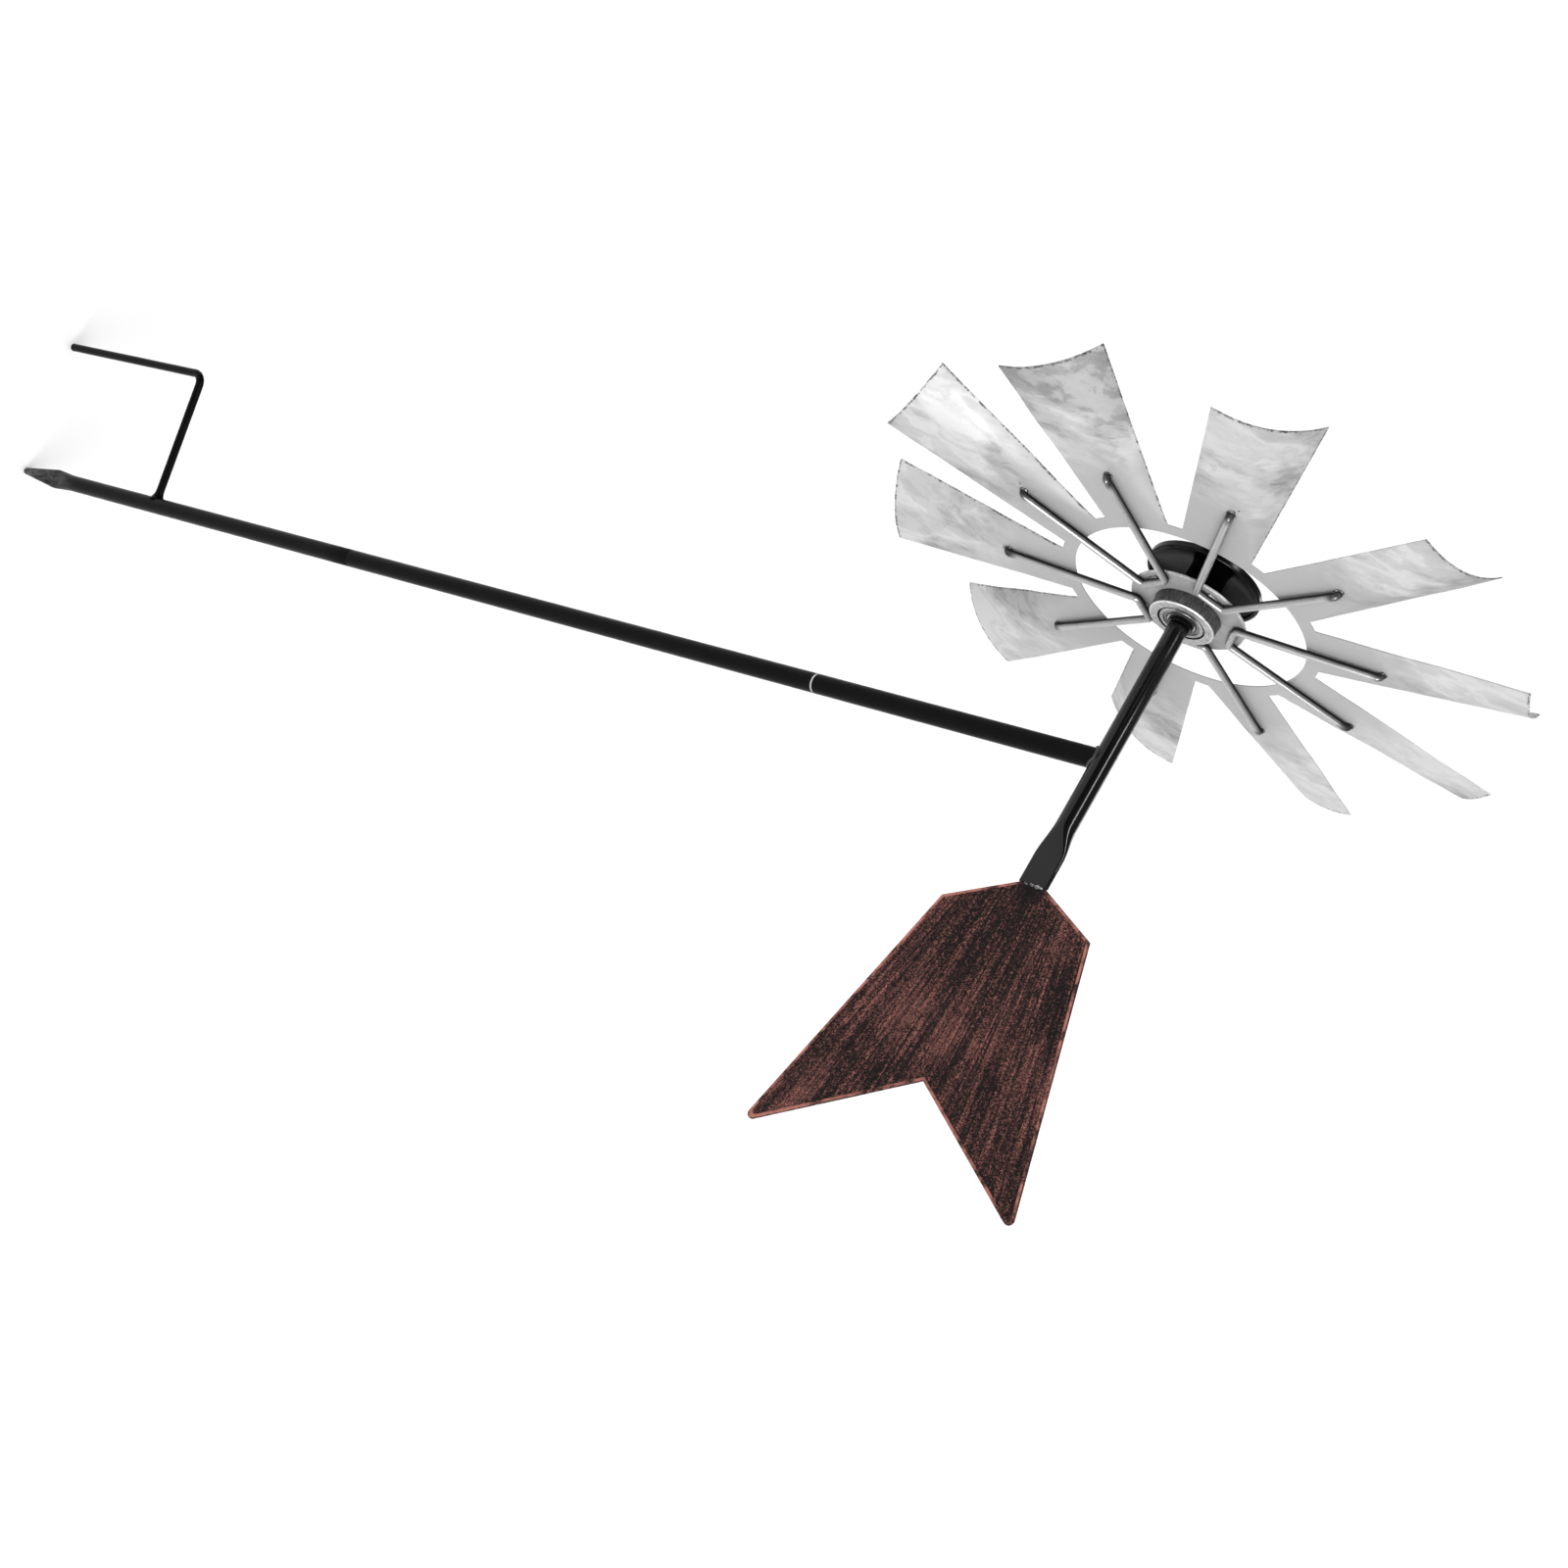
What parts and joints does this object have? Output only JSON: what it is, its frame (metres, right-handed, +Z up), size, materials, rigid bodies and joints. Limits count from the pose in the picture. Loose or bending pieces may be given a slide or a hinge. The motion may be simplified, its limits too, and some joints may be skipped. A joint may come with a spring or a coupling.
{
  "type": "garden windmill",
  "caption": "Ground-stake garden windmill: a bladed wind wheel on a ball bearing and a forked tail vane on a swivelling head, above a sectional pole with a foot prong.",
  "frame": {"origin": "on the pole's axis at the soil line, level with the underside of the foot prong's step", "axes": "+Z up along the pole; -Y from the pole to the wind wheel, which faces the wind; +Y to the tail vane; +X to the right of a person who looks along +Y"},
  "size_m": [0.5146, 0.52, 1.5896],
  "materials": {
    "black_tube": "satin black paint",
    "black_gloss": "gloss black paint",
    "galvanised_sheet": "mottled galvanised steel",
    "spoke_steel": "dull steel wire",
    "plate_steel": "matte zinc",
    "machined_steel": "turned steel",
    "bearing_steel": "polished bearing steel",
    "shield_steel": "pressed steel",
    "brass_cage": "pressed brass",
    "zinc_fastener": "bright zinc",
    "tail_bronze": "antique black brushed with copper rose",
    "weld_black": "painted weld bead",
    "weld_bare": "bare weld bead"
  },
  "bodies": {
    "stake": {"pole_lower": "black_tube", "pole_connector": "zinc_fastener", "pole_middle": "black_tube", "foot_prong": "black_tube", "prong_weld": "weld_black", "swivel_pin": "machined_steel", "swivel_washer": "zinc_fastener"},
    "head": {"head_post": "black_gloss", "post_weld": "weld_black", "head_tube": "black_gloss", "tail_vane": "tail_bronze", "tail_weld": "weld_bare", "axle_shaft": "black_gloss", "axle_washer": "zinc_fastener", "axle_nut": "zinc_fastener", "bearing_inner_race": "bearing_steel"},
    "ball_set": {"bearing_balls": "bearing_steel", "bearing_cage": "brass_cage"},
    "rotor": {"bearing_outer_race": "bearing_steel", "bearing_shield_rear": "shield_steel", "bearing_shield_front": "shield_steel", "bearing_housing": "machined_steel", "hub_plate": "plate_steel", "hub_neck": "black_gloss", "hub_cap": "black_gloss", "hub_welds": "weld_bare", "wind_wheel": "galvanised_sheet", "spoke_wire_1": "spoke_steel", "spoke_wire_2": "spoke_steel", "spoke_wire_3": "spoke_steel", "spoke_wire_4": "spoke_steel", "spoke_wire_5": "spoke_steel", "spoke_tacks": "weld_bare"}
  },
  "joints": [
    {"name": "head_yaw", "type": "hinge", "parent": "stake", "child": "head", "pos_m": [0, 0, 0.846], "axis": [0, 0, 1], "continuous": true},
    {"name": "wheel_spin", "type": "hinge", "parent": "head", "child": "rotor", "pos_m": [0, -0.1315, 1.1105], "axis": [0, 1, 0], "continuous": true},
    {"name": "ball_roll", "type": "hinge", "parent": "head", "child": "ball_set", "pos_m": [0, -0.1315, 1.1105], "axis": [0, 1, 0], "continuous": true}
  ],
  "couplings": [
    {"joint": "ball_roll", "follows": "wheel_spin", "ratio": 0.61906}
  ]
}
